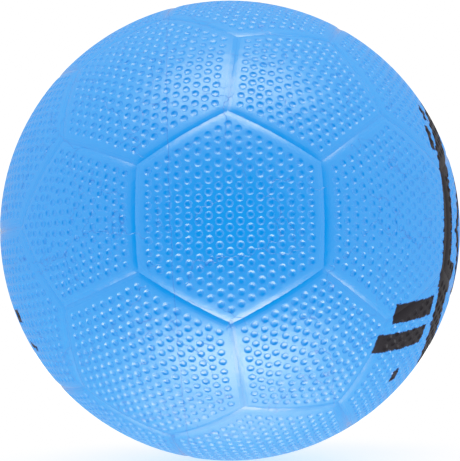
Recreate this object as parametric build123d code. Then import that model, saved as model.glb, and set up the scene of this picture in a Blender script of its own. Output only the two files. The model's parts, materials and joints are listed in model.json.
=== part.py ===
"""A rubber playground ball with the 32-panel pattern, as the layers it is built up from.

A butyl bladder with its valve is wound with nylon thread, sheeted with carcass rubber and
covered with 12 five-sided and 20 six-sided rubber panels, which are cured together in a mould.

Frame: millimetres, origin at the ball's centre, +Z up. The valve axis is +Y, through the
middle of a six-sided panel, and the opposite six-sided panel faces -Y. That front panel has
a corner straight up (+Z) and a five-sided neighbour on its left (-X).
"""

import os
from math import radians, sqrt, tan

from build123d import *

# Ball and its layers, from the outside in
ball_radius = 110.0
cover_thickness = 1.5
carcass_thickness = 0.45
winding_thickness = 0.4
bladder_thickness = 0.45

# Seams between the cover panels: each panel edge is bevelled, and two bevels make a V
groove_depth = 0.75
groove_half_width = 3.4

# Valve housing: a rubber flange, boss and neck, bonded under the bladder
neck_radius = 4.6
neck_recess = 0.5
flange_radius = 16.0
flange_thickness = 1.8
boss_radius = 6.6
boss_depth = 13.5
patch_radius = 15.0

# Needle plug, pressed into the housing from outside
plug_radius = 2.5
plug_length = 11.5
plug_head_radius = 3.2
plug_head_thickness = 1.1
barb_radius = 3.1
barb_length = 1.4
needle_radius = 0.95
needle_depth = 8.0
funnel_radius = 1.6
funnel_depth = 0.5

carcass_radius = ball_radius - cover_thickness
winding_radius = carcass_radius - carcass_thickness
bladder_radius = winding_radius - winding_thickness
air_radius = bladder_radius - bladder_thickness
neck_top = ball_radius - neck_recess
clear_of_ball = 1.05 * ball_radius

FRONT = Vector(0, -1, 0)


def icosahedron():
    """The 12 corners of an icosahedron, which are the middles of the five-sided panels."""
    golden = (1 + sqrt(5)) / 2
    corners = []
    for short in (-1, 1):
        for long in (-golden, golden):
            corners.append(Vector(0, short, long).normalized())
            corners.append(Vector(short, long, 0).normalized())
            corners.append(Vector(long, 0, short).normalized())
    return corners


def neighbours(corner, corners):
    """The five icosahedron corners nearest to this one."""
    return sorted(corners, key=lambda other: (other - corner).length)[1:6]


def triangles(corners):
    """The 20 icosahedron faces, whose middles are those of the six-sided panels."""
    faces = []
    for i, a in enumerate(corners):
        beside_a = [c for c in corners[i + 1:] if c in neighbours(a, corners)]
        for j, b in enumerate(beside_a):
            faces += [(a, b, c) for c in beside_a[j + 1:] if c in neighbours(b, corners)]
    return faces


def middle_of(face):
    """The direction of a face's middle."""
    return (face[0] + face[1] + face[2]).normalized()


def turned_to_front(corners):
    """Turn the icosahedron so that one face looks along -Y and one of its corners lies to -X."""
    face = triangles(corners)[0]
    front = middle_of(face)
    left = (face[0] - front * face[0].dot(front)).normalized()
    up = left.cross(front)
    return [Vector(-c.dot(left), -c.dot(front), c.dot(up)) for c in corners]


def seam_corner(a, b):
    """Where three panels meet: a third of the way along the edge from a to b."""
    return (a * 2 + b).normalized()


def panel_plane(middle, corner):
    """The plane whose normal is a panel's middle and whose x axis points at one of its corners."""
    return Plane(origin=(0, 0, 0), x_dir=corner - middle * corner.dot(middle), z_dir=middle)


def front_to_back(plane):
    """Sort key that numbers panels from the front one to the rear one, in rings about the Y axis."""
    middle = plane.z_dir
    return (round(middle.get_angle(FRONT), 3), round(middle.Z, 3), middle.X)


def shell(outer, inner):
    """A spherical shell whose poles and seam line lie clear of +Z, where the pieces are made."""
    return Rot(0, 90, 0) * (Sphere(outer) - Sphere(inner))


def bar(radius, bottom, top):
    """A round bar about the Z axis between two heights."""
    return Pos(0, 0, bottom) * Cylinder(radius, top - bottom, align=(Align.CENTER, Align.CENTER, Align.MIN))


def cover_panel(sides, corner_angle):
    """One cover panel about +Z, cut from the shell by planes through the centre, edges bevelled."""
    spread = tan(radians(corner_angle))
    heights = (0.8 * ball_radius, clear_of_ball)
    ends = [Plane.XY.offset(height) * RegularPolygon(height * spread, sides) for height in heights]
    blank = shell(ball_radius, carcass_radius) & loft(ends, ruled=True)
    skin = blank.faces().sort_by(Axis.Z)[-1]
    return chamfer(skin.edges(), groove_half_width, groove_depth, reference=skin)


def layer(outer, inner, hole):
    """A closed layer of the ball with a round hole for the valve at +Z."""
    return shell(outer, inner) - bar(hole, 0, clear_of_ball)


def valve_patch():
    """Rubberised fabric disc that fills the ring the thread winding leaves round the valve."""
    ring = bar(patch_radius, 0, clear_of_ball) - bar(neck_radius, 0, clear_of_ball)
    return shell(winding_radius, bladder_radius) & ring


def valve_housing():
    """Flange bonded under the bladder, boss inside the ball, and neck out to the cover."""
    rim_drop = flange_radius ** 2 / (2 * air_radius)
    flange = bar(flange_radius, air_radius - rim_drop - flange_thickness, air_radius) & Sphere(air_radius)
    boss = bar(boss_radius, air_radius - boss_depth, air_radius - flange_thickness)
    neck = bar(neck_radius, air_radius - flange_thickness, neck_top)
    socket = bar(plug_radius, 0, clear_of_ball)
    head_seat = bar(plug_head_radius, neck_top - plug_head_thickness, clear_of_ball)
    barb_seat = bar(barb_radius, neck_top - plug_length, neck_top - plug_length + barb_length)
    return flange + boss + neck - socket - head_seat - barb_seat


def valve_plug():
    """Plug with a head, a barbed end and the needle entry, closed at the bottom by its slit."""
    head = bar(plug_head_radius, neck_top - plug_head_thickness, neck_top)
    stem = bar(plug_radius, neck_top - plug_length, neck_top)
    barb = bar(barb_radius, neck_top - plug_length, neck_top - plug_length + barb_length)
    entry = bar(needle_radius, neck_top - funnel_depth - needle_depth, clear_of_ball)
    funnel = Pos(0, 0, neck_top - funnel_depth / 2) * Cone(needle_radius, funnel_radius, funnel_depth)
    return head + stem + barb - entry - funnel


def write(piece, name):
    """Write one node as its own STEP file."""
    solid = piece.solid()
    solid.label = name
    export_step(solid, f"parts/{name}.step")


pent_middles = turned_to_front(icosahedron())
hex_faces = triangles(pent_middles)

pent_corners = [seam_corner(middle, neighbours(middle, pent_middles)[0]) for middle in pent_middles]
pent_planes = [panel_plane(middle, corner) for middle, corner in zip(pent_middles, pent_corners)]
pent_corner_angle = pent_middles[0].get_angle(pent_corners[0])

hex_corners = [seam_corner(face[0], face[1]) for face in hex_faces]
hex_planes = [panel_plane(middle_of(face), corner) for face, corner in zip(hex_faces, hex_corners)]
hex_corner_angle = middle_of(hex_faces[0]).get_angle(hex_corners[0])

pent_planes.sort(key=front_to_back)
hex_planes.sort(key=front_to_back)
valve_plane = hex_planes.pop()

pent_panel = cover_panel(5, pent_corner_angle)
hex_panel = cover_panel(6, hex_corner_angle)
to_valve = Rot(-90, 0, 0)
valve_hole = to_valve * bar(neck_radius, 0, clear_of_ball)

os.makedirs("parts", exist_ok=True)
for number, plane in enumerate(pent_planes, 1):
    write(plane.location * pent_panel, f"pent_panel_{number:02d}")
for number, plane in enumerate(hex_planes, 1):
    write(plane.location * hex_panel, f"hex_panel_{number:02d}")
write(valve_plane.location * hex_panel - valve_hole, "valve_panel")
write(to_valve * layer(carcass_radius, winding_radius, neck_radius), "carcass")
write(to_valve * layer(winding_radius, bladder_radius, patch_radius), "thread_winding")
write(to_valve * valve_patch(), "valve_patch")
write(to_valve * layer(bladder_radius, air_radius, neck_radius), "bladder")
write(to_valve * valve_housing(), "valve_housing")
write(to_valve * valve_plug(), "valve_plug")
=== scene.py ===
"""The looks of a moulded rubber playground ball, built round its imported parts.

Each cover panel is remade with its dimples and rolled seam edges as real relief, the valve is
turned with its soft edges, and every layer gets the finish of the material it is made of.
"""

import json
from math import asin, cos, pi, radians, sin, sqrt, tan

import bmesh
import bpy
import numpy as np
from bpy.props import FloatProperty, FloatVectorProperty, IntProperty, PointerProperty
from mathutils import Matrix, Vector
from mathutils.geometry import delaunay_2d_cdt


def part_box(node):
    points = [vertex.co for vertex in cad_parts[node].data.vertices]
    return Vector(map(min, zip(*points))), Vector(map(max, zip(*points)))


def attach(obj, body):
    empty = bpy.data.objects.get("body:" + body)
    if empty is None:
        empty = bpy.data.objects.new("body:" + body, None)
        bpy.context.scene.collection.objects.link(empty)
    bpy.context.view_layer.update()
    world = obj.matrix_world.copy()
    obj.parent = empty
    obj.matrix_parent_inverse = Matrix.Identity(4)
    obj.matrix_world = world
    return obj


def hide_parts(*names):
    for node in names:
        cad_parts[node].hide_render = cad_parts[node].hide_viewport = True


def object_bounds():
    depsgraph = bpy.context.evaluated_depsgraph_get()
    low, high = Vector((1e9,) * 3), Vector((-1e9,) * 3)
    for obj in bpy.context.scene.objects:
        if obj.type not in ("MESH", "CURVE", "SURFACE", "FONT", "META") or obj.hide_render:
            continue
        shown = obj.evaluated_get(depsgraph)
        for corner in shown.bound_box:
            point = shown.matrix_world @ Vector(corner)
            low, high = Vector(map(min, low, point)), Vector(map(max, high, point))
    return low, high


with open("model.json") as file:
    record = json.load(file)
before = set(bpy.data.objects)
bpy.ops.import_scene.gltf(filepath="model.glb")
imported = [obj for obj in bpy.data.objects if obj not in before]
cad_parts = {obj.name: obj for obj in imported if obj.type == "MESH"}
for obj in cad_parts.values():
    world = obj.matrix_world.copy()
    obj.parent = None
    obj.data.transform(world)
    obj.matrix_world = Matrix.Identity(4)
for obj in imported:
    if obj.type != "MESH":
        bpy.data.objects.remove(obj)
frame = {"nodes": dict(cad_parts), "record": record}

bl_info = {
    "name": "Moulded Rubber Ball",
    "version": (1, 0, 0),
    "blender": (4, 5, 0),
    "location": "View3D > Sidebar > Rubber Ball",
    "description": "Builds a dimpled 32-panel rubber ball, its inner layers, its valve and a studio",
    "category": "Add Mesh",
}

MM = 0.001
CAD_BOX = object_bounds()
MOUNTS = {mount["name"]: mount for mount in frame["record"]["mounts"]}
BALL_RADIUS = -MOUNTS["ground_contact"]["pos_m"][2]
NEEDLE_RADIUS = MOUNTS["needle_port"]["dims"]["r_mm"] * MM


def linear(code):
    """Turn an sRGB hex colour into linear red, green and blue."""
    channels = [int(code[i:i + 2], 16) / 255 for i in (1, 3, 5)]
    return [c / 12.92 if c <= 0.04045 else ((c + 0.055) / 1.055) ** 2.4 for c in channels]


def length(name, description, size):
    """A length property that a user can change, given its default in millimetres."""
    return FloatProperty(name=name, description=description, default=size * MM, unit="LENGTH", precision=5)


def colour(name, description, code):
    """A colour property that a user can change, given its default as an sRGB hex code."""
    return FloatVectorProperty(
        name=name, description=description, default=linear(code), subtype="COLOR", min=0, max=1)


class BallReliefSettings(bpy.types.PropertyGroup):
    """Sizes of the relief that the mould leaves in the cover"""
    dimple_width: length("Dimple width", "Across one dimple at its rim", 3.8)
    dimple_depth: length("Dimple depth", "From the surface to the bottom of one dimple", 0.52)
    hex_row: length("Six-sided row spacing", "Between dimple rows in a six-sided panel", 4.25)
    pent_row: length("Five-sided row spacing", "Between dimple rows in a five-sided panel", 3.78)
    seam_depth: length("Seam depth", "Depth of the groove between panels", 0.55)
    seam_half_width: length("Seam half width", "From the seam to the end of its rolled edge", 3.6)
    seam_gap: length("Seam gap", "Half the hairline gap at the bottom of a seam", 0.006)
    cover_thickness: length("Cover thickness", "Thickness of the rubber panels", 1.45)
    dimple_segments: IntProperty(
        name="Dimple segments", description="Points round one dimple", default=16, min=8, max=48)


class BallColourSettings(bpy.types.PropertyGroup):
    """Colours of the ball"""
    cover: colour("Cover", "Pigment of the cover rubber", "#048AF4")
    ink: colour("Ink", "Screen-printed marks", "#110D14")


def icosahedron():
    """The 12 directions of the five-sided panels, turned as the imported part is."""
    golden = (1 + sqrt(5)) / 2
    corners = []
    for short in (-1, 1):
        for long in (-golden, golden):
            corners += [Vector((0, short, long)), Vector((short, long, 0)), Vector((long, 0, short))]
    corners = [corner.normalized() for corner in corners]
    face = faces_of(corners)[0]
    front = sum(face, Vector()).normalized()
    left = (face[0] - front * face[0].dot(front)).normalized()
    up = left.cross(front)
    return [Vector((-c.dot(left), -c.dot(front), c.dot(up))) for c in corners]


def beside(corner, corners):
    """The five icosahedron corners nearest to this one."""
    return sorted(corners, key=lambda other: (other - corner).length)[1:6]


def faces_of(corners):
    """The 20 icosahedron faces, whose middles are those of the six-sided panels."""
    faces = []
    for i, a in enumerate(corners):
        near_a = [c for c in corners[i + 1:] if c in beside(a, corners)]
        for j, b in enumerate(near_a):
            faces += [(a, b, c) for c in near_a[j + 1:] if c in beside(b, corners)]
    return faces


class Panel:
    """One cover panel, with the flat chart that its relief is drawn in.

    A chart point's distance and bearing from the chart's middle are the true distance and bearing
    on the ball from the panel's middle. The chart's x axis points at one of the panel's corners.
    """

    def __init__(self, middle, corner, sides):
        """Set the chart up from the panel's middle, one corner and its number of sides."""
        self.sides = sides
        self.middle = np.array(middle)
        self.reach = middle.angle(corner)
        self.along = np.array((corner - middle * corner.dot(middle)).normalized())
        self.across = np.cross(self.middle, self.along)
        self.to_side = np.arctan(tan(self.reach) * cos(pi / sides))
        self.half_side = asin(sin(self.reach) * sin(pi / sides))
        turns = 2 * pi * np.arange(sides) / sides
        away = self.reach * BALL_RADIUS
        self.corners = self.at(away * np.cos(turns), away * np.sin(turns))
        self.node = min(frame["nodes"], key=self.miss)

    def miss(self, node):
        """How far the middle of a node's box is from this panel's middle; inner nodes never match."""
        if "panel" not in node:
            return float("inf")
        low, high = (Vector(corner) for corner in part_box(node))
        return ((low + high) / 2 - Vector(self.middle) * BALL_RADIUS).length

    def axes(self, x, y):
        """The unit directions at chart points: out of the ball, away from the panel's middle, and
        round that middle."""
        bearing = np.arctan2(y, x)
        turn = (np.hypot(x, y) / BALL_RADIUS)[..., None]
        ahead = np.cos(bearing)[..., None] * self.along + np.sin(bearing)[..., None] * self.across
        side = np.cos(bearing)[..., None] * self.across - np.sin(bearing)[..., None] * self.along
        outward = np.cos(turn) * self.middle + np.sin(turn) * ahead
        return outward, np.cos(turn) * ahead - np.sin(turn) * self.middle, side

    def at(self, x, y):
        """The unit directions of chart points."""
        return self.axes(x, y)[0]

    def seam_line(self, inset, steps):
        """Chart points round the panel, a given distance in from its seams."""
        angles = np.linspace(-self.half_side, self.half_side, steps, endpoint=False)
        off_middle = np.arctan2(np.sin(angles), np.cos(angles) * sin(self.to_side))
        lean = np.arctan2(cos(self.to_side) * np.cos(off_middle), sin(self.to_side))
        size = np.hypot(sin(self.to_side), cos(self.to_side) * np.cos(off_middle))
        away = (np.arccos(np.sin(inset / BALL_RADIUS) / size) - lean) * BALL_RADIUS
        bearings = [off_middle + pi * (2 * side + 1) / self.sides for side in range(self.sides)]
        bearings = np.concatenate(bearings)
        away = np.tile(away, self.sides)
        return away * np.cos(bearings), away * np.sin(bearings)

    def seam_distances(self, points):
        """Distance of points from each seam of the panel, and from its nearest corner, past which
        the seam between two other panels starts."""
        to_corners = np.arccos(np.clip(points @ self.corners.T, -1, 1))
        distances = []
        for a, b, from_a, from_b in zip(
                self.corners, np.roll(self.corners, -1, 0), to_corners.T, np.roll(to_corners, -1, 1).T):
            inward = np.cross(a, b) / np.linalg.norm(np.cross(a, b))
            mid = (a + b) / np.linalg.norm(a + b)
            run = np.arctan2(points @ np.cross(inward, mid), points @ mid)
            beyond = np.abs(run) > self.half_side
            distances.append(np.where(beyond, np.minimum(from_a, from_b), np.arcsin(points @ inward)))
        distances.append(to_corners.min(1))
        return np.maximum(np.array(distances), 0) * BALL_RADIUS


MEETING_POWER = 30


def seam_height(panel, relief, x, y):
    """How far the rolled edges sink the surface at chart points. Where seams meet, their grooves add
    up by a high power, so that the corner between them is rounded."""
    near = np.maximum(1 - panel.seam_distances(panel.at(x, y)) / relief.seam_half_width, 0)
    return -relief.seam_depth * np.power(np.sum(near ** MEETING_POWER, axis=0), 2 / MEETING_POWER)


def slopes(height, x, y):
    """The slope of a height function along each chart axis, from small steps to both sides."""
    step = 0.01 * MM
    along = height(x + step, y) - height(x - step, y)
    across = height(x, y + step) - height(x, y - step)
    return along / (2 * step), across / (2 * step)


class Shell:
    """A panel's closed mesh while it is being made, from rings of chart points and strips between them."""

    def __init__(self, panel):
        """Start with no points and no faces."""
        self.panel = panel
        self.rows = []
        self.count = 0
        self.skin = []
        self.hidden = []

    def points(self, x, y, height, slope_x=0.0, slope_y=0.0):
        """Add chart points with their height and slope, and return their numbers in the same layout."""
        columns = np.broadcast_arrays(x, y, height, slope_x, slope_y)
        self.rows.append(np.stack([column.ravel() for column in columns], 1))
        numbers = np.arange(self.count, self.count + columns[0].size).reshape(columns[0].shape)
        self.count += columns[0].size
        return numbers

    @staticmethod
    def strip(outer, inner):
        """Four-sided faces from closed rings to the rings inside them; the last axis runs round."""
        corners = [outer, np.roll(outer, -1, -1), np.roll(inner, -1, -1), inner]
        return np.stack(corners, -1).reshape(-1, 4).tolist()

    @staticmethod
    def fan(ring, middle):
        """Three-sided faces from closed rings to their middle points."""
        corners = [ring, np.roll(ring, -1, -1), np.broadcast_to(middle[..., None], ring.shape)]
        return np.stack(corners, -1).reshape(-1, 3).tolist()

    def object(self, name, skin_material):
        """Make the mesh object. The outer skin gets exact normals from the slopes."""
        x, y, height, slope_x, slope_y = np.concatenate(self.rows).T
        outward, ahead, side = self.panel.axes(x, y)
        bearing = np.arctan2(y, x)
        slope_ahead = slope_x * np.cos(bearing) + slope_y * np.sin(bearing)
        slope_side = slope_y * np.cos(bearing) - slope_x * np.sin(bearing)
        normals = outward - slope_ahead[:, None] * ahead - slope_side[:, None] * side
        normals /= np.linalg.norm(normals, axis=1)[:, None]
        mesh = bpy.data.meshes.new(name)
        mesh.from_pydata((outward * (BALL_RADIUS + height)[:, None]).tolist(), [], self.skin + self.hidden)
        in_skin = np.arange(len(mesh.polygons)) < len(self.skin)
        mesh.polygons.foreach_set("use_smooth", in_skin)
        loops = np.zeros(len(mesh.loops), int)
        sizes = np.zeros(len(mesh.polygons), int)
        mesh.loops.foreach_get("vertex_index", loops)
        mesh.polygons.foreach_get("loop_total", sizes)
        loop_normals = np.where(np.repeat(in_skin, sizes)[:, None], normals[loops], 0)
        mesh.normals_split_custom_set(loop_normals.tolist())
        mesh.materials.append(skin_material)
        piece = bpy.data.objects.new(name, mesh)
        bpy.context.collection.objects.link(piece)
        return piece


# Gaps between dimples along one side of each ring of them, from the panel's middle outwards
HEX_RINGS = (1, 2, 3, 4, 5, 6, 7, 8)
PENT_RINGS = (1, 2, 3, 4, 6, 7, 8)
VALVE_CLEARS_RINGS = 1
# How unevenly the mould was engraved: places in metres, sizes as shares
PLACE_SPREAD = 0.07 * MM
PLACE_LIMIT = 0.15 * MM
WIDTH_SPREAD = 0.025
DEPTH_SPREAD = 0.08
# Rings of points down one dimple, as shares of its rim
DIMPLE_RINGS = (1, 0.93, 0.84, 0.72, 0.55, 0.3)


def dimple_places(sides, row):
    """Chart places of a panel's dimples: one in the middle and rings with so many gaps to a side."""
    turns = 2 * pi * np.arange(sides) / sides
    corners = np.stack([np.cos(turns), np.sin(turns)], 1)
    places = [np.zeros((1, 2))]
    for ring, gaps in enumerate(HEX_RINGS if sides == 6 else PENT_RINGS, 1):
        share = (np.arange(gaps) / gaps)[None, :, None]
        sides_run = corners[:, None] * (1 - share) + np.roll(corners, -1, 0)[:, None] * share
        places.append(sides_run.reshape(-1, 2) * ring * row / cos(pi / sides))
    return places


def land_between(shell, rings):
    """Join closed rings with three-sided faces, leaving each inner ring open. The first is the outline."""
    numbers = np.concatenate([ring.ravel() for ring in rings])
    owner = np.repeat(np.arange(len(rings)), [ring.size for ring in rings])
    chart = np.concatenate(shell.rows)[numbers, :2] / MM
    edges, start = [], 0
    for ring in rings:
        run = start + np.arange(ring.size)
        edges += np.stack([run, np.roll(run, -1)], 1).tolist()
        start += ring.size
    made = delaunay_2d_cdt([Vector(place) for place in chart], edges, [], 0, 1e-5)
    source = np.array([where[0] for where in made[3]])
    corners = source[np.array(made[2])]
    open_ring = (owner[corners] == owner[corners][:, :1]).all(1) & (owner[corners][:, 0] > 0)
    corners = corners[~open_ring]
    a, b, c = (chart[corners[:, k]] for k in range(3))
    turned = (b[:, 0] - a[:, 0]) * (c[:, 1] - a[:, 1]) < (b[:, 1] - a[:, 1]) * (c[:, 0] - a[:, 0])
    corners[turned] = corners[turned][:, ::-1]
    return numbers[corners].tolist()


def dimples(shell, places, relief, chance):
    """Sink the dimples, each slightly off its place and size, and return their rims. A dimple is a
    smooth bowl with a level floor: its depth falls off by the square of one less the share's fourth
    power, where the share is the distance from its middle over that of its rim."""
    count = relief.dimple_segments
    total = len(places)
    places = places + np.clip(chance.normal(0, PLACE_SPREAD, places.shape), -PLACE_LIMIT, PLACE_LIMIT)
    apart = np.linalg.norm(places[:, None] - places[None], axis=2)
    apart[np.diag_indices(total)] = 1
    seams = shell.panel.seam_distances(shell.panel.at(*places.T)).min(0)
    room = np.minimum(apart.min(1) / 2, seams - SEAM_INSETS[-1] * relief.seam_half_width)[:, None]
    wanted = relief.dimple_width / 2 * (1 + chance.normal(0, WIDTH_SPREAD, (total, 1)))
    rim = np.minimum(wanted, room - PLACE_LIMIT / 2)
    depth = relief.dimple_depth * (1 + chance.normal(0, DEPTH_SPREAD, (total, 1)))
    angles = 2 * pi * (np.arange(count) + chance.random((total, 1))) / count
    rings = []
    for share in DIMPLE_RINGS:
        x = places[:, :1] + share * rim * np.cos(angles)
        y = places[:, 1:] + share * rim * np.sin(angles)
        height = -depth * (1 - share ** 4) ** 2
        slope = 8 * share ** 3 * (1 - share ** 4) * depth / rim
        rings.append(shell.points(x, y, height, slope * np.cos(angles), slope * np.sin(angles)))
    middles = shell.points(places[:, 0], places[:, 1], -depth[:, 0])
    for outer, inner in zip(rings, rings[1:]):
        shell.skin += shell.strip(outer, inner)
    shell.skin += shell.fan(rings[-1], middles)
    return list(rings[0])


SEAM_STEPS = 30
# Lines of points down a rolled edge, as shares of its width
SEAM_INSETS = (0.05, 0.13, 0.24, 0.4, 0.6, 0.84)
# Rings of points inwards over the raised collar round the valve: radius, rise and slope, in millimetres
VALVE_COLLAR = ((6.35, 0, 0), (6.05, 0.05, -0.35), (5.7, 0.16, 0), (5.35, 0.05, 0.35), (5.05, 0, 0),
                (4.82, -0.05, 0.5), (4.7, -0.25, 2.5))
# Rings of points across the glued face, as shares of its outline; a pierced panel's last is its hole
GLUED_RINGS = (0.8, 0.6, 0.4, 0.2, 0)


def cover_panel(panel, relief, chance, material):
    """Make one cover panel: dimpled skin, rolled edges, cut sides and the face glued to the carcass."""
    shell = Shell(panel)

    def height(x, y):
        return seam_height(panel, relief, x, y)

    insets = [relief.seam_gap] + [share * relief.seam_half_width for share in SEAM_INSETS]
    lines = [panel.seam_line(inset, SEAM_STEPS) for inset in insets]
    borders = [shell.points(x, y, height(x, y), *slopes(height, x, y)) for x, y in lines]
    for outer, inner in zip(borders, borders[1:]):
        shell.skin += shell.strip(outer, inner)

    has_valve = panel.node == "valve_panel"
    places = dimple_places(panel.sides, relief.hex_row if panel.sides == 6 else relief.pent_row)
    places = np.concatenate(places[VALVE_CLEARS_RINGS + 1:] if has_valve else places)
    rings = [borders[-1]] + dimples(shell, places, relief, chance)

    x, y = lines[0]
    bottom = shell.points(x, y, -relief.cover_thickness)
    shell.hidden += shell.strip(bottom, borders[0])
    if has_valve:
        turns = 2 * pi * np.arange(len(x)) / len(x)
        out_x, out_y = np.cos(turns), np.sin(turns)
        collar = [
            shell.points(radius * MM * out_x, radius * MM * out_y, rise * MM, slope * out_x, slope * out_y)
            for radius, rise, slope in VALVE_COLLAR]
        for outer, inner in zip(collar, collar[1:]):
            shell.skin += shell.strip(outer, inner)
        rings.append(collar[0])
        hole = VALVE_COLLAR[-1][0] * MM
        middle_x, middle_y = hole * out_x, hole * out_y
    else:
        middle_x, middle_y = 0 * x, 0 * y
    glued = [bottom]
    for share in GLUED_RINGS if has_valve else GLUED_RINGS[:-1]:
        glued.append(shell.points(middle_x + (x - middle_x) * share, middle_y + (y - middle_y) * share,
                                  -relief.cover_thickness))
    for outer, inner in zip(glued, glued[1:]):
        shell.hidden += shell.strip(inner, outer)
    if has_valve:
        shell.hidden += shell.strip(collar[-1], glued[-1])
    else:
        middle = shell.points(0.0, 0.0, -relief.cover_thickness)
        shell.hidden += shell.fan(glued[-1][::-1], middle)
    shell.skin += land_between(shell, rings)
    return shell.object(panel.node + "_moulded", material)


def feed(tree, node, inputs):
    """Give a node its inputs: each is a value, an output, or a node, which means its first output."""
    for name, value in inputs.items():
        if isinstance(value, bpy.types.Node):
            value = value.outputs[0]
        if isinstance(value, bpy.types.NodeSocket):
            tree.links.new(value, node.inputs[name])
        else:
            node.inputs[name].default_value = value


def add(tree, kind, settings=None, inputs=None):
    """Add a node with its settings and its inputs."""
    made = tree.nodes.new(kind)
    for name, value in (settings or {}).items():
        setattr(made, name, value)
    feed(tree, made, inputs or {})
    return made


def new_material(name):
    """An empty node material, with its tree and a principled shader wired to the output."""
    material = bpy.data.materials.new(name)
    material.use_nodes = True
    tree = material.node_tree
    tree.nodes.clear()
    shader = add(tree, "ShaderNodeBsdfPrincipled")
    add(tree, "ShaderNodeOutputMaterial", {}, {"Surface": shader})
    return material, tree, shader


def facing(bearing, elevation, lean=0.0):
    """The turn that brings a place on the ball to +Z, its right to +X and its top to +Y, from its
    bearing to the right of the front, its elevation and its lean, in degrees."""
    turn, rise = radians(bearing), radians(elevation)
    out = Vector((sin(turn) * cos(rise), -cos(turn) * cos(rise), sin(rise)))
    right = Vector((cos(turn), sin(turn), 0))
    upright = Matrix((right, out.cross(right), out))
    return (Matrix.Rotation(radians(lean), 3, "Z") @ upright).to_euler()


# The emblem's bearing and elevation in degrees, then its sizes in millimetres: the half width and
# half height of its oval ring, half the ring's band, half the solid hexagon's width, and the half
# width and half line of the hexagon outlined round it
EMBLEM = (88, -2)
EMBLEM_RING = (46, 60)
EMBLEM_BAND = 6.0
EMBLEM_HEXAGON = 13.0
EMBLEM_OUTLINE = (27.0, 3.0)
# A mark shows only this deep into the ball from its own middle, so never on the far side
MARK_REACH = 60.0
# How far the ink strays at a mark's edge, and where it starts and stops, in millimetres
INK_STRAY = 2.4
INK_EDGE = (1.0, 1.5)
BARS = (
    # bearing, elevation, half width, half height, lean: plain blocks printed beside the emblem
    (52, -21.5, 15.0, 4.6, -8), (51, -29.0, 18.0, 4.6, -8), (66, -13.0, 9.0, 7.0, 10),
    (62, 20.0, 2.6, 6.0, 12), (66, 27.0, 2.4, 4.0, 14), (58, -39.0, 2.2, 3.4, -20),
    (-74, -21.0, 5.0, 3.2, 0), (-72, -29.0, 4.0, 1.6, 20),
    (40, 74.0, 5.0, 1.1, 12), (62, 78.0, 5.0, 1.1, 12), (-40, 80.0, 7.0, 1.0, 0),
)


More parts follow.
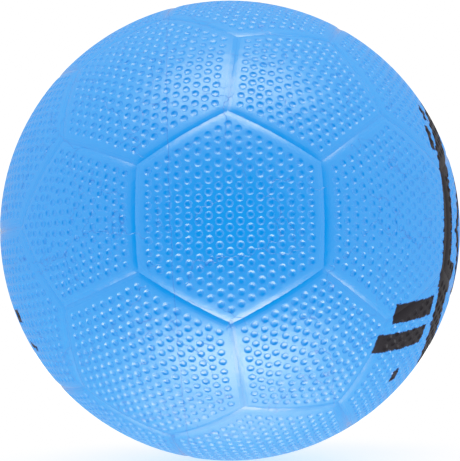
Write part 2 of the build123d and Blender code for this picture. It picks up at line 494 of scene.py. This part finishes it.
def ink_marks(tree, place, noise):
    """How much ink covers a place: 1 on the printed marks and 0 off them. Each mark is measured by
    its distance in millimetres, and the ragged edge is what a screen leaves on a dimpled surface."""
    local = add(tree, "ShaderNodeMapping", {}, {
        "Vector": place, "Location": (0, 0, -BALL_RADIUS / MM), "Rotation": facing(*EMBLEM)})
    stretched = add(tree, "ShaderNodeVectorMath", {"operation": "MULTIPLY"}, {
        0: local, 1: (1 / EMBLEM_RING[0], 1 / EMBLEM_RING[1], 0)})
    oval = add(tree, "ShaderNodeVectorMath", {"operation": "LENGTH"}, {0: stretched})
    off_line = add(tree, "ShaderNodeMath", {"operation": "SUBTRACT"}, {0: oval.outputs["Value"], 1: 1.0})
    off_line = add(tree, "ShaderNodeMath", {"operation": "ABSOLUTE"}, {0: off_line})
    ring = add(tree, "ShaderNodeMath", {"operation": "MULTIPLY_ADD"}, {
        0: off_line, 1: sum(EMBLEM_RING) / 2, 2: -EMBLEM_BAND})
    spokes = [add(tree, "ShaderNodeVectorMath", {"operation": "DOT_PRODUCT"}, {
        0: local, 1: (sin(turn), cos(turn), 0)}) for turn in (0, pi / 3, 2 * pi / 3)]
    sides = [add(tree, "ShaderNodeMath", {"operation": "ABSOLUTE"}, {0: spoke.outputs["Value"]})
             for spoke in spokes]
    hexagon = add(tree, "ShaderNodeMath", {"operation": "MAXIMUM"}, {0: sides[0], 1: sides[1]})
    hexagon = add(tree, "ShaderNodeMath", {"operation": "MAXIMUM"}, {0: hexagon, 1: sides[2]})
    solid = add(tree, "ShaderNodeMath", {"operation": "SUBTRACT"}, {0: hexagon, 1: EMBLEM_HEXAGON})
    outline = add(tree, "ShaderNodeMath", {"operation": "SUBTRACT"}, {0: hexagon, 1: EMBLEM_OUTLINE[0]})
    outline = add(tree, "ShaderNodeMath", {"operation": "ABSOLUTE"}, {0: outline})
    outline = add(tree, "ShaderNodeMath", {"operation": "SUBTRACT"}, {0: outline, 1: EMBLEM_OUTLINE[1]})
    emblem = add(tree, "ShaderNodeMath", {"operation": "MINIMUM"}, {0: ring, 1: solid})
    emblem = add(tree, "ShaderNodeMath", {"operation": "MINIMUM"}, {0: emblem, 1: outline})
    depth = add(tree, "ShaderNodeSeparateXYZ", {}, {0: local}).outputs["Z"]
    nearby = add(tree, "ShaderNodeMath", {"operation": "SUBTRACT"}, {0: -MARK_REACH, 1: depth})
    marks = add(tree, "ShaderNodeMath", {"operation": "MAXIMUM"}, {0: emblem, 1: nearby})
    for bearing, elevation, half_width, half_height, lean in BARS:
        local = add(tree, "ShaderNodeMapping", {}, {
            "Vector": place, "Location": (0, 0, -BALL_RADIUS / MM),
            "Rotation": facing(bearing, elevation, lean)})
        away = add(tree, "ShaderNodeVectorMath", {"operation": "ABSOLUTE"}, {0: local})
        away = add(tree, "ShaderNodeVectorMath", {"operation": "SUBTRACT"}, {
            0: away, 1: (half_width, half_height, MARK_REACH)})
        parts = add(tree, "ShaderNodeSeparateXYZ", {}, {0: away}).outputs
        bar = add(tree, "ShaderNodeMath", {"operation": "MAXIMUM"}, {0: parts["X"], 1: parts["Y"]})
        bar = add(tree, "ShaderNodeMath", {"operation": "MAXIMUM"}, {0: bar, 1: parts["Z"]})
        marks = add(tree, "ShaderNodeMath", {"operation": "MINIMUM"}, {0: marks, 1: bar})
    ragged = add(tree, "ShaderNodeMath", {"operation": "MULTIPLY_ADD"}, {0: noise, 1: INK_STRAY, 2: marks})
    return add(tree, "ShaderNodeMapRange", {"interpolation_type": "SMOOTHSTEP"}, {
        "Value": ragged, "From Min": INK_EDGE[0], "From Max": INK_EDGE[1],
        "To Min": 1.0, "To Max": 0.0})


# Sizes of the cover's surface pattern, in millimetres
GRAIN = 0.8
SWELL = 7.0
CREASE_SPACING = 34.0
CREASE_WIDTH = 0.24
SPECK_SPACING = 9.0
SPECK_RADIUS = 0.3
GRAIN_HEIGHT = 0.085
SWELL_HEIGHT = 0.3
CREASE_DEPTH = 0.09
WRINKLE_HEIGHT = 0.08
# How often its broad patterns repeat, per millimetre, and how far the folds stray, in millimetres
BEND_RATE = 0.05
PATCH_RATE = 0.045
WRINKLE_RATE = 0.22
BEND = 30
# The share of the places for a speck that have none, and how much painted shade darkens the colour along a
# crease
SPECKLESS = 0.86
CREASE_PAINTED_SHADE = 0.6
# One long fold runs up the front, square to this direction and so far from the ball's middle
LONG_FOLD = (-1, 0.02, -0.03)
LONG_FOLD_OFFSET = 23.0
# Handling dulls the land, down to the first depth; from the second, pits and seams keep their gloss
WORN_DEPTHS = (0.1, 0.4)
PIT_ROUGHNESS = 0.1
LAND_ROUGHNESS = 0.29
INK_ROUGHNESS = 0.4


def moulded_rubber(colours):
    """Coloured rubber, cured in a sandblasted mould, then screen-printed in black. The fine grain scatters
    the highlights, the skin is slightly uneven where the compound flowed together, folds in the uncured
    sheet left hairlines, and dust left a few dark specks. The hairlines and the long fold are also painted
    a darker blue, as painted shade in their hollows. The land between the dimples is duller than the pits,
    so the pits look darker and have the sharper lights."""
    material, tree, shader = new_material("Moulded_cover_rubber")
    metres = add(tree, "ShaderNodeTexCoord").outputs["Object"]
    place = add(tree, "ShaderNodeVectorMath", {"operation": "SCALE"}, {0: metres, "Scale": 1 / MM})
    grain = add(tree, "ShaderNodeTexNoise", {}, {
        "Vector": place, "Scale": 1 / GRAIN, "Detail": 3.0, "Roughness": 0.65})
    swell = add(tree, "ShaderNodeTexNoise", {}, {"Vector": place, "Scale": 1 / SWELL, "Detail": 1.0})
    shift = add(tree, "ShaderNodeTexNoise", {}, {
        "Vector": place, "Scale": BEND_RATE, "Detail": 3.0, "Roughness": 0.55}).outputs["Color"]
    bent = add(tree, "ShaderNodeVectorMath", {"operation": "MULTIPLY_ADD"}, {
        0: shift, 1: (BEND, BEND, BEND), 2: place})
    folds = add(tree, "ShaderNodeTexVoronoi", {"feature": "DISTANCE_TO_EDGE"}, {
        "Vector": bent, "Scale": 1 / CREASE_SPACING}).outputs["Distance"]
    line = add(tree, "ShaderNodeMapRange", {"interpolation_type": "SMOOTHSTEP"}, {
        "Value": folds, "From Min": 0.0, "From Max": CREASE_WIDTH / CREASE_SPACING,
        "To Min": 1.0, "To Max": 0.0})
    patch = add(tree, "ShaderNodeTexNoise", {}, {"Vector": place, "Scale": PATCH_RATE, "Detail": 1.0})
    showing = add(tree, "ShaderNodeMapRange", {"interpolation_type": "SMOOTHSTEP"}, {
        "Value": patch, "From Min": 0.42, "From Max": 0.5})
    crease = add(tree, "ShaderNodeMath", {"operation": "MULTIPLY"}, {0: line, 1: showing})
    side = add(tree, "ShaderNodeVectorMath", {"operation": "DOT_PRODUCT"}, {0: place, 1: LONG_FOLD})
    side = add(tree, "ShaderNodeMath", {"operation": "MULTIPLY_ADD"}, {
        0: swell, 1: 1.5, 2: side.outputs["Value"]})
    side = add(tree, "ShaderNodeMath", {"operation": "SUBTRACT"}, {0: side, 1: LONG_FOLD_OFFSET})
    side = add(tree, "ShaderNodeMath", {"operation": "ABSOLUTE"}, {0: side})
    fold = add(tree, "ShaderNodeMapRange", {"interpolation_type": "SMOOTHSTEP"}, {
        "Value": side, "From Min": 0.05, "From Max": 0.3, "To Min": 0.8, "To Max": 0.0})
    crease = add(tree, "ShaderNodeMath", {"operation": "MAXIMUM"}, {0: crease, 1: fold})
    wrinkled = add(tree, "ShaderNodeTexNoise", {"noise_type": "RIDGED_MULTIFRACTAL"}, {
        "Vector": bent, "Scale": WRINKLE_RATE, "Detail": 2.0})
    where = add(tree, "ShaderNodeMapRange", {"interpolation_type": "SMOOTHSTEP"}, {
        "Value": patch, "From Min": 0.42, "From Max": 0.3})
    wrinkle = add(tree, "ShaderNodeMath", {"operation": "MULTIPLY"}, {0: wrinkled, 1: where})
    height = add(tree, "ShaderNodeMath", {"operation": "MULTIPLY"}, {0: grain, 1: GRAIN_HEIGHT})
    for part, scale in ((swell, SWELL_HEIGHT), (crease, -CREASE_DEPTH), (wrinkle, WRINKLE_HEIGHT)):
        height = add(tree, "ShaderNodeMath", {"operation": "MULTIPLY_ADD"}, {0: part, 1: scale, 2: height})
    bump = add(tree, "ShaderNodeBump", {}, {"Height": height, "Distance": MM})
    cells = add(tree, "ShaderNodeTexVoronoi", {}, {"Vector": place, "Scale": 1 / SPECK_SPACING})
    kind = add(tree, "ShaderNodeSeparateXYZ", {}, {0: cells.outputs["Color"]}).outputs["X"]
    size = add(tree, "ShaderNodeMapRange", {}, {
        "Value": kind, "From Min": SPECKLESS, "From Max": 1.0, "To Min": 0.0,
        "To Max": SPECK_RADIUS / SPECK_SPACING})
    speck = add(tree, "ShaderNodeMath", {"operation": "LESS_THAN"}, {
        0: cells.outputs["Distance"], 1: size})
    ink = ink_marks(tree, place, grain)
    # Painted shade: along the creases and the long fold the blue is mixed towards a darker blue, standing
    # in for the shade in these hollows
    shade = add(tree, "ShaderNodeMath", {"operation": "MULTIPLY"}, {0: crease, 1: CREASE_PAINTED_SHADE})
    cover = add(tree, "ShaderNodeMix", {"data_type": "RGBA"}, {
        "Factor": shade, 6: (*colours.cover, 1), 7: (*linear("#0560C4"), 1)})
    dusty = add(tree, "ShaderNodeMix", {"data_type": "RGBA"}, {
        "Factor": speck, 6: cover.outputs[2], 7: (*linear("#1B2B4A"), 1)})
    printed = add(tree, "ShaderNodeMix", {"data_type": "RGBA"}, {
        "Factor": ink, 6: dusty.outputs[2], 7: (*colours.ink, 1)})
    out = add(tree, "ShaderNodeVectorMath", {"operation": "LENGTH"}, {0: place}).outputs["Value"]
    worn = add(tree, "ShaderNodeMapRange", {"interpolation_type": "SMOOTHSTEP"}, {
        "Value": out, "From Min": BALL_RADIUS / MM - WORN_DEPTHS[1],
        "From Max": BALL_RADIUS / MM - WORN_DEPTHS[0], "To Min": PIT_ROUGHNESS, "To Max": LAND_ROUGHNESS})
    gloss = add(tree, "ShaderNodeMix", {}, {"Factor": ink, "A": worn, "B": INK_ROUGHNESS})
    matt = add(tree, "ShaderNodeMapRange", {}, {"Value": ink, "To Min": 0.5, "To Max": 0.1})
    feed(tree, shader, {
        "Base Color": printed.outputs[2], "Roughness": gloss, "Specular IOR Level": matt, "Normal": bump,
        "IOR": 1.45})
    return material


def sheet_rubber():
    """Black natural rubber, calendered into a sheet: dull, with a faint cloth print from the liner."""
    material, tree, shader = new_material("Calendered_carcass_rubber")
    metres = add(tree, "ShaderNodeTexCoord").outputs["Object"]
    cloth = add(tree, "ShaderNodeTexNoise", {}, {"Vector": metres, "Scale": 1 / (1.2 * MM), "Detail": 3.0})
    clouds = add(tree, "ShaderNodeTexNoise", {}, {"Vector": metres, "Scale": 1 / (30 * MM), "Detail": 3.0})
    tint = add(tree, "ShaderNodeMix", {"data_type": "RGBA"}, {
        "Factor": clouds, 6: (*linear("#232325"), 1), 7: (*linear("#38383A"), 1)})
    bump = add(tree, "ShaderNodeBump", {}, {"Height": cloth, "Distance": 0.05 * MM})
    feed(tree, shader, {"Base Color": tint.outputs[2], "Normal": bump, "Roughness": 0.65})
    return material


THREAD_PITCH = 1.4 * MM
WINDING_AXES = (
    (0.2, 0.3, 0.93), (0.9, -0.2, 0.4), (-0.5, 0.8, 0.33), (0.1, -0.85, 0.5), (0.66, 0.6, -0.45))


def wound_nylon():
    """Nylon thread wound in great circles and dipped in latex: pale, and ribbed along every turn, with the
    grooves between the turns painted darker as shade. The real thread is a third of a millimetre thick, so
    it is drawn coarser, to show as thread."""
    material, tree, shader = new_material("Wound_nylon_thread")
    metres = add(tree, "ShaderNodeTexCoord").outputs["Object"]
    layers = []
    for axis in WINDING_AXES:
        along = add(tree, "ShaderNodeVectorMath", {"operation": "DOT_PRODUCT"}, {
            0: metres, 1: Vector(axis).normalized() * 2 * pi / THREAD_PITCH})
        layers.append(add(tree, "ShaderNodeMath", {"operation": "SINE"}, {0: along.outputs["Value"]}))
    top = layers[0]
    for number, layer in enumerate(layers[1:], 1):
        above = add(tree, "ShaderNodeTexNoise", {"noise_dimensions": "4D"}, {
            "Vector": metres, "W": 7.0 * number, "Scale": 1 / (18 * MM), "Detail": 1.0})
        lies = add(tree, "ShaderNodeMapRange", {}, {
            "Value": above, "From Min": 0.48, "From Max": 0.52})
        top = add(tree, "ShaderNodeMix", {}, {"Factor": lies, "A": top, "B": layer})
    # Painted shade: the colour follows the height of the ribs, darker down in the grooves between the turns
    tint = add(tree, "ShaderNodeMapRange", {"interpolation_type": "SMOOTHSTEP"}, {
        "Value": top, "From Min": -0.9, "From Max": 0.2})
    thread = add(tree, "ShaderNodeMix", {"data_type": "RGBA"}, {
        "Factor": tint, 6: (*linear("#8C7C5E"), 1), 7: (*linear("#E3DCC8"), 1)})
    bump = add(tree, "ShaderNodeBump", {}, {"Height": top, "Distance": 0.12 * MM})
    feed(tree, shader, {"Base Color": thread.outputs[2], "Normal": bump, "Roughness": 0.45, "IOR": 1.53})
    return material


YARN_SPACING = 1.0 * MM


def patch_cloth():
    """Plain-woven cotton, rubberised: a grey-green cloth with its yarns a millimetre apart, painted darker
    as shade in the hollows between the yarns.
    """
    material, tree, shader = new_material("Rubberised_patch_cloth")
    metres = add(tree, "ShaderNodeTexCoord").outputs["Object"]
    yarns = []
    for way in ("X", "Z"):
        yarn = add(tree, "ShaderNodeTexWave", {"bands_direction": way}, {
            "Vector": metres, "Scale": 2 * pi / (20 * YARN_SPACING), "Distortion": 0.3, "Detail": 1.0})
        yarns.append(yarn.outputs[1])
    weave = add(tree, "ShaderNodeMath", {"operation": "MULTIPLY"}, {0: yarns[0], 1: yarns[1]})
    # Painted shade: the colour follows the height of the weave, darker in the hollows between the yarns
    tint = add(tree, "ShaderNodeMix", {"data_type": "RGBA"}, {
        "Factor": weave, 6: (*linear("#4A4C44"), 1), 7: (*linear("#8E8F80"), 1)})
    bump = add(tree, "ShaderNodeBump", {}, {"Height": weave, "Distance": 0.15 * MM})
    feed(tree, shader, {"Base Color": tint.outputs[2], "Normal": bump, "Roughness": 0.8})
    return material


def dusted_butyl():
    """Black butyl rubber, moulded smooth and dusted with talc: a soft sheen under pale clouds."""
    material, tree, shader = new_material("Dusted_bladder_butyl")
    metres = add(tree, "ShaderNodeTexCoord").outputs["Object"]
    talc = add(tree, "ShaderNodeTexNoise", {}, {
        "Vector": metres, "Scale": 1 / (22 * MM), "Detail": 6.0, "Roughness": 0.65})
    dust = add(tree, "ShaderNodeMapRange", {"interpolation_type": "SMOOTHSTEP"}, {
        "Value": talc, "From Min": 0.45, "From Max": 0.75})
    tint = add(tree, "ShaderNodeMix", {"data_type": "RGBA"}, {
        "Factor": dust, 6: (*linear("#161617"), 1), 7: (*linear("#6B6A66"), 1)})
    gloss = add(tree, "ShaderNodeMapRange", {}, {"Value": dust, "To Min": 0.32, "To Max": 0.8})
    feed(tree, shader, {"Base Color": tint.outputs[2], "Roughness": gloss})
    return material


def valve_compound(name, code, roughness):
    """Black rubber moulded in a ground steel tool: even and satin, with a faint turned grain that
    catches the light round the valve."""
    material, tree, shader = new_material(name)
    metres = add(tree, "ShaderNodeTexCoord").outputs["Object"]
    grain = add(tree, "ShaderNodeTexNoise", {}, {"Vector": metres, "Scale": 1 / (0.35 * MM), "Detail": 2.0})
    clouds = add(tree, "ShaderNodeTexNoise", {}, {"Vector": metres, "Scale": 1 / (3 * MM), "Detail": 2.0})
    dull = add(tree, "ShaderNodeMapRange", {}, {
        "Value": clouds, "To Min": roughness - 0.12, "To Max": roughness + 0.12})
    bump = add(tree, "ShaderNodeBump", {}, {"Height": grain, "Distance": 0.02 * MM})
    feed(tree, shader, {"Base Color": (*linear(code), 1), "Roughness": dull, "Normal": bump, "IOR": 1.52})
    return material


class OBJECT_OT_ball_cover(bpy.types.Operator):
    """Make the 32 moulded cover panels of the ball"""
    bl_idname = "object.ball_cover"
    bl_label = "Cover panels"

    def execute(self, context):
        """Build each panel in its place, from its own seed."""
        relief = context.scene.ball_relief
        material = moulded_rubber(context.scene.ball_colours)
        pents = icosahedron()
        panels = [Panel(p, (p * 2 + beside(p, pents)[0]).normalized(), 5) for p in pents]
        for face in faces_of(pents):
            panels.append(Panel(sum(face, Vector()).normalized(), (face[0] * 2 + face[1]).normalized(), 6))
        if len({panel.node for panel in panels}) != len(panels):
            raise RuntimeError("the packed cover panels aren't where the pattern puts them")
        for number, panel in enumerate(sorted(panels, key=lambda panel: panel.node)):
            piece = cover_panel(panel, relief, np.random.default_rng(number + 1), material)
            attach(piece, "root")
            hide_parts(panel.node)
        return {"FINISHED"}


class OBJECT_OT_ball_core(bpy.types.Operator):
    """Give the layers under the cover their finishes"""
    bl_idname = "object.ball_core"
    bl_label = "Inner layers"

    def execute(self, context):
        """Put each layer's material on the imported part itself, whose shape is already right."""
        finishes = {"carcass": sheet_rubber(), "thread_winding": wound_nylon(),
                    "valve_patch": patch_cloth(), "bladder": dusted_butyl()}
        for node, material in finishes.items():
            slots = frame["nodes"][node].material_slots
            if not slots:
                raise RuntimeError(f"{node} has no material slot")
            for slot in slots:
                slot.material = material
        return {"FINISHED"}


# The valve's heights and radii along its axis, in millimetres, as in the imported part
NECK_TOP = BALL_RADIUS / MM - 0.5
NECK_RADIUS = 4.6
AIR_RADIUS = 107.2
FLANGE_BOTTOM = 104.2
BOSS_RADIUS = 6.6
PLUG_BOTTOM = NECK_TOP - 11.5
PLUG_RADIUS = 2.5
HEAD_RADIUS = 3.2
HEAD_BOTTOM = NECK_TOP - 1.1
BARB_RADIUS = 3.1
BARB_TOP = PLUG_BOTTOM + 1.4
FUNNEL_RADIUS = 1.6
FUNNEL_BOTTOM = NECK_TOP - 0.5
NEEDLE_BOTTOM = NECK_TOP - 8.5
DOME_RADII = (13, 10, 7)
TURNED_STEPS = 96


def eased(outline, ease):
    """Round the corners of a closed outline of radius and height pairs, except on the axis."""
    made = []
    for before, corner, after in zip(outline[-1:] + outline[:-1], outline, outline[1:] + outline[:1]):
        corner, before, after = Vector(corner), Vector(before), Vector(after)
        if corner.x == 0:
            made.append(corner)
            continue
        start = corner + (before - corner).normalized() * min(ease, (before - corner).length / 3)
        end = corner + (after - corner).normalized() * min(ease, (after - corner).length / 3)
        made += [start.lerp(corner, t).lerp(corner.lerp(end, t), t) for t in (0, 0.25, 0.5, 0.75, 1)]
    return made


def turned(name, outline, material):
    """Spin an outline round the valve axis into a closed mesh. Where it starts and ends on the
    axis, the two ends are single points; otherwise the outline closes on itself."""
    mesh = bmesh.new()
    rings = []
    for radius, height in outline:
        count = TURNED_STEPS if radius > 0 else 1
        turns = [2 * pi * step / count for step in range(count)]
        ring = [mesh.verts.new((radius * MM * sin(t), height * MM, radius * MM * cos(t))) for t in turns]
        rings.append(ring * (TURNED_STEPS // count))
    pairs = list(zip(rings, rings[1:]))
    if outline[0].x > 0:
        pairs.append((rings[-1], rings[0]))
    for low, high in pairs:
        for step in range(TURNED_STEPS):
            corners = [low[step - 1], low[step], high[step], high[step - 1]]
            mesh.faces.new(list(dict.fromkeys(corners)))
    bmesh.ops.recalc_face_normals(mesh, faces=mesh.faces)
    made = bpy.data.meshes.new(name)
    mesh.to_mesh(made)
    mesh.free()
    made.polygons.foreach_set("use_smooth", [True] * len(made.polygons))
    made.materials.append(material)
    piece = bpy.data.objects.new(name, made)
    bpy.context.collection.objects.link(piece)
    return piece


class OBJECT_OT_ball_valve(bpy.types.Operator):
    """Make the valve housing and its needle plug"""
    bl_idname = "object.ball_valve"
    bl_label = "Valve"

    def execute(self, context):
        """Turn both from their outlines, each a radius and a height in millimetres."""
        low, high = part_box("valve_housing")
        flange, boss_end = high.x / MM, low.y / MM
        radii = (flange, *DOME_RADII, NECK_RADIUS)
        dome = [(radius, sqrt(AIR_RADIUS ** 2 - radius ** 2)) for radius in radii]
        housing = [
            (PLUG_RADIUS, boss_end), (BOSS_RADIUS, boss_end), (BOSS_RADIUS, FLANGE_BOTTOM),
            (flange, FLANGE_BOTTOM), *dome, (NECK_RADIUS, NECK_TOP), (HEAD_RADIUS, NECK_TOP),
            (HEAD_RADIUS, HEAD_BOTTOM), (PLUG_RADIUS, HEAD_BOTTOM), (PLUG_RADIUS, BARB_TOP),
            (BARB_RADIUS, BARB_TOP), (BARB_RADIUS, PLUG_BOTTOM), (PLUG_RADIUS, PLUG_BOTTOM)]
        bore, head = NEEDLE_RADIUS / MM, HEAD_RADIUS - 0.05
        plug = [
            (0, PLUG_BOTTOM), (PLUG_RADIUS - 0.2, PLUG_BOTTOM), (BARB_RADIUS, BARB_TOP - 0.2),
            (BARB_RADIUS - 0.2, BARB_TOP), (PLUG_RADIUS, BARB_TOP), (PLUG_RADIUS, HEAD_BOTTOM),
            (head, HEAD_BOTTOM), (head, NECK_TOP), (FUNNEL_RADIUS, NECK_TOP), (bore, FUNNEL_BOTTOM),
            (bore, NEEDLE_BOTTOM), (0, NEEDLE_BOTTOM)]
        for node, outline, ease, material in (
                ("valve_housing", housing, 0.3, valve_compound("Moulded_valve_rubber", "#1D1D1F", 0.5)),
                ("valve_plug", plug, 0.25, valve_compound("Moulded_plug_rubber", "#2B2B2E", 0.4))):
            piece = turned(node + "_turned", eased(outline, ease), material)
            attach(piece, "root")
            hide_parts(node)
        return {"FINISHED"}


CAMERA_DISTANCE = 6.278 * BALL_RADIUS
CAMERA_RISE = radians(-3.27)
CAMERA_ROLL = radians(-1.1)
CAMERA_LENS = 111.4
TO_CAMERA = Vector((0, -cos(CAMERA_RISE), sin(CAMERA_RISE)))
FLOOR_HALF_WIDTH = 8
FLOOR_GLOW = 0.33
BACKDROP_GLOW = 1.05
LAMPS = (
    # name, elevation, bearing, distance, width and height in metres, watts, what it is kept out of
    ("Overhead_softbox", 66, 3, 1.0, (1.7, 0.75), 12.5, "plain"),
    ("Under_table_softbox", -63, 3, 1.0, (2.0, 0.75), 23, "plain"),
    ("Under_table_reflector", -96, 3, 1.0, (2.4, 1.1), 9, "plain"),
    ("Overhead_fill", 90, 0, 2.0, (2.0, 2.0), 9, "reflections"),
    ("Under_table_fill", -90, 0, 2.0, (2.0, 2.0), 10, "reflections"),
    ("Back_fill", 10, 180, 2.0, (2.0, 2.0), 22, "reflections"),
)
# The dark opening's half width and half height, as parts of a unit direction, with a third number
# that keeps the wall behind the ball out of it; then where the wall starts to show and is fully
# lit, as shares of them
OPENING = (0.88, 0.76, 1 / 1.2)
WALL_SHOWS = (0.34, 1.03)
WALL_GLOW = 1.02
BACK_WALL_SHARE = 0.31


def studio_floor():
    """A wide opal table, lit from below: it glows white, and light from under it reaches the ball."""
    half, height = FLOOR_HALF_WIDTH, CAD_BOX[0].z
    mesh = bpy.data.meshes.new("Studio_floor")
    corners = [(-half, -half, height), (half, -half, height), (half, half, height), (-half, half, height)]
    mesh.from_pydata(corners, [], [(0, 1, 2, 3)])
    material, tree, shader = new_material("Studio_opal_acrylic")
    feed(tree, shader, {
        "Base Color": (*linear("#F6F6F4"), 1), "Roughness": 0.8, "Emission Color": (1, 1, 1, 1),
        "Emission Strength": FLOOR_GLOW})
    mesh.materials.append(material)
    floor = bpy.data.objects.new("Studio_floor", mesh)
    bpy.context.collection.objects.link(floor)
    floor.visible_shadow = floor.visible_glossy = floor.visible_diffuse = False


def softbox(name, elevation, bearing, distance, size, watts, kept_out_of):
    """A soft rectangular lamp that faces the ball, brighter in its middle than along its edges. The
    elevation is measured up from the table and the bearing to the right of the camera, in degrees.
    Each lamp is kept out of the reflections or out of the plain light, much as a polarising filter
    does, so that the crescents in the pits and the plain colour are lit apart."""
    lamp = bpy.data.lights.new(name, "AREA")
    lamp.shape = "RECTANGLE"
    lamp.size, lamp.size_y = size
    lamp.energy = watts
    lamp.use_nodes = True
    tree = lamp.node_tree
    tree.nodes.clear()
    across = add(tree, "ShaderNodeNewGeometry").outputs["Parametric"]
    from_middle = add(tree, "ShaderNodeVectorMath", {"operation": "MULTIPLY_ADD"}, {
        0: across, 1: (2, 2, 0), 2: (-1, -1, 0)})
    from_middle = add(tree, "ShaderNodeVectorMath", {"operation": "LENGTH"}, {0: from_middle})
    glow = add(tree, "ShaderNodeMapRange", {"interpolation_type": "SMOOTHSTEP"}, {
        "Value": from_middle.outputs["Value"], "From Min": 0.2, "From Max": 1, "To Min": 2, "To Max": 0})
    emission = add(tree, "ShaderNodeEmission", {}, {"Strength": glow})
    add(tree, "ShaderNodeOutputLight", {}, {"Surface": emission})
    holder = bpy.data.objects.new(name, lamp)
    up, right = radians(elevation), radians(bearing)
    way = Vector((sin(right) * cos(up), -cos(right) * cos(up), sin(up)))
    holder.location = way * distance
    holder.rotation_mode = "QUATERNION"
    holder.rotation_quaternion = way.to_track_quat("Z", "Y")
    holder.visible_diffuse = kept_out_of != "plain"
    holder.visible_glossy = kept_out_of != "reflections"
    bpy.context.collection.objects.link(holder)


def surroundings():
    """A white tent round the ball, with a dark opening where the camera looks in and less light on
    the wall behind."""
    world = bpy.data.worlds.new("Studio_tent")
    world.use_nodes = True
    tree = world.node_tree
    tree.nodes.clear()
    way = add(tree, "ShaderNodeTexCoord").outputs["Generated"]
    flat = add(tree, "ShaderNodeVectorMath", {"operation": "MAXIMUM"}, {0: way, 1: (-1, 0, -1)})
    half_width, half_height, rearward = OPENING
    scaled = add(tree, "ShaderNodeVectorMath", {"operation": "MULTIPLY"}, {
        0: flat, 1: (1 / half_width, 1 / rearward, 1 / half_height)})
    from_opening = add(tree, "ShaderNodeVectorMath", {"operation": "LENGTH"}, {0: scaled})
    wall = add(tree, "ShaderNodeMapRange", {"interpolation_type": "SMOOTHSTEP"}, {
        "Value": from_opening.outputs["Value"], "From Min": WALL_SHOWS[0], "From Max": WALL_SHOWS[1],
        "To Min": 0.0, "To Max": WALL_GLOW})
    backwards = add(tree, "ShaderNodeSeparateXYZ", {}, {0: way}).outputs["Y"]
    behind = add(tree, "ShaderNodeMapRange", {}, {
        "Value": backwards, "From Min": -0.1, "From Max": 0.75, "To Min": 1, "To Max": BACK_WALL_SHARE})
    light = add(tree, "ShaderNodeMath", {"operation": "MULTIPLY"}, {0: wall, 1: behind})
    seen = add(tree, "ShaderNodeLightPath").outputs["Is Camera Ray"]
    strength = add(tree, "ShaderNodeMix", {}, {"Factor": seen, "A": light, "B": BACKDROP_GLOW})
    background = add(tree, "ShaderNodeBackground", {}, {"Color": (1, 1, 1, 1), "Strength": strength})
    add(tree, "ShaderNodeOutputWorld", {}, {"Surface": background})
    bpy.context.scene.world = world


def camera():
    """The camera, a little below the ball's middle, with the ball filling its view."""
    lens = bpy.data.cameras.new("Camera")
    lens.lens = CAMERA_LENS
    lens.clip_start, lens.clip_end = 0.01, 100
    holder = bpy.data.objects.new("Camera", lens)
    holder.location = TO_CAMERA * CAMERA_DISTANCE
    holder.rotation_mode = "QUATERNION"
    roll = Matrix.Rotation(CAMERA_ROLL, 3, TO_CAMERA).to_quaternion()
    holder.rotation_quaternion = roll @ TO_CAMERA.to_track_quat("Z", "Y")
    bpy.context.collection.objects.link(holder)
    bpy.context.scene.camera = holder


CURVE_TONES = (0.1, 0.2, 0.35, 0.5, 0.7, 0.85)


def film(view_settings):
    """A response like a camera's: pale tones roll off softly into white."""
    view_settings.view_transform = "Standard"
    view_settings.use_curve_mapping = True
    mapping = view_settings.curve_mapping
    mapping.extend = "HORIZONTAL"
    curve = mapping.curves[3]
    for tone in CURVE_TONES:
        curve.points.new(tone, 1 - (1 - tone) ** 2)
    mapping.update()


class OBJECT_OT_ball_studio(bpy.types.Operator):
    """Put the ball on a pale floor in a soft white studio, with its camera"""
    bl_idname = "object.ball_studio"
    bl_label = "Studio"

    def execute(self, context):
        """Make the floor, the lamps, the surroundings and the camera."""
        studio_floor()
        for lamp in LAMPS:
            softbox(*lamp)
        surroundings()
        camera()
        film(context.scene.view_settings)
        return {"FINISHED"}


class VIEW3D_PT_ball(bpy.types.Panel):
    """Lists the ball's pieces and the studio in the sidebar"""
    bl_label = "Rubber Ball"
    bl_space_type = "VIEW_3D"
    bl_region_type = "UI"
    bl_category = "Rubber Ball"

    def draw(self, context):
        """Show the sizes, the colours and a button for each operator."""
        for group in (context.scene.ball_relief, context.scene.ball_colours):
            for name in group.bl_rna.properties.keys():
                if name not in ("rna_type", "name"):
                    self.layout.prop(group, name)
        for operator in OPERATORS:
            self.layout.operator(operator.bl_idname)


OPERATORS = (OBJECT_OT_ball_cover, OBJECT_OT_ball_core, OBJECT_OT_ball_valve, OBJECT_OT_ball_studio)
CLASSES = (BallReliefSettings, BallColourSettings, *OPERATORS, VIEW3D_PT_ball)


def register():
    """Add the classes and the settings to Blender."""
    for one in CLASSES:
        bpy.utils.register_class(one)
    bpy.types.Scene.ball_relief = PointerProperty(type=BallReliefSettings)
    bpy.types.Scene.ball_colours = PointerProperty(type=BallColourSettings)


def unregister():
    """Take the settings and the classes away again."""
    del bpy.types.Scene.ball_relief
    del bpy.types.Scene.ball_colours
    for one in reversed(CLASSES):
        bpy.utils.unregister_class(one)


def main():
    """Build everything in order."""
    register()
    bpy.ops.object.ball_cover()
    bpy.ops.object.ball_core()
    bpy.ops.object.ball_valve()
    bpy.ops.object.ball_studio()


if __name__ == "__main__":
    main()
